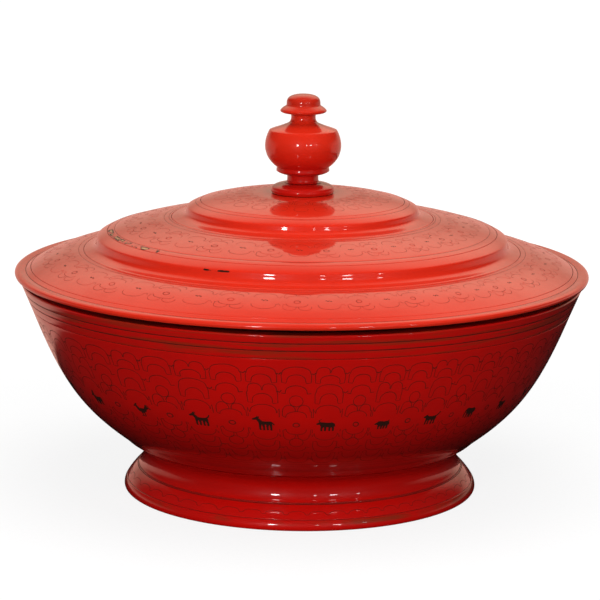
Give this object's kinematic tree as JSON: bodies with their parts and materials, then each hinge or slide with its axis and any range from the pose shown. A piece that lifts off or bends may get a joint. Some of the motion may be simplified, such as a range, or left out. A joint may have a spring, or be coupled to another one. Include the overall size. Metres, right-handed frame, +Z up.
{
  "type": "lidded offering vessel",
  "caption": "Round red lacquered offering bowl on a flared, waisted foot, with a stepped dome lid, a turned bud finial and incised animal bands.",
  "frame": {"origin": "centre of the foot's resting face, on the turning axis", "axes": "+Z up along the turning axis, +X to the viewer's right in the picture, +Y away from the viewer"},
  "size_m": [0.42, 0.42, 0.2922],
  "materials": {
    "red_lacquer": "glossy red lacquer over coiled bamboo or turned wood, incised with fine dark lines",
    "dark_lacquer": "satin dark red-brown lacquer on the parts that the lid covers"
  },
  "bodies": {
    "bowl": {"foot_base_hoop": "red_lacquer", "foot_flare": "red_lacquer", "foot_collar": "red_lacquer", "bowl_floor": "dark_lacquer", "bowl_wall": "red_lacquer", "bowl_rim_band": "red_lacquer", "mouth_seat_ring": "dark_lacquer"},
    "lid": {"lid_rim_hoop": "red_lacquer", "lid_flange_ring": "red_lacquer", "lid_lower_tier": "red_lacquer", "lid_middle_hoop": "red_lacquer", "lid_middle_tier": "red_lacquer", "lid_top_hoop": "red_lacquer", "lid_top_tier": "red_lacquer", "finial_base_disc": "red_lacquer", "finial": "red_lacquer"}
  },
  "joints": [
    {"name": "lid_lift", "type": "slide", "parent": "bowl", "child": "lid", "axis": [0, 0, 1], "range_m": [0, 0.22]}
  ]
}
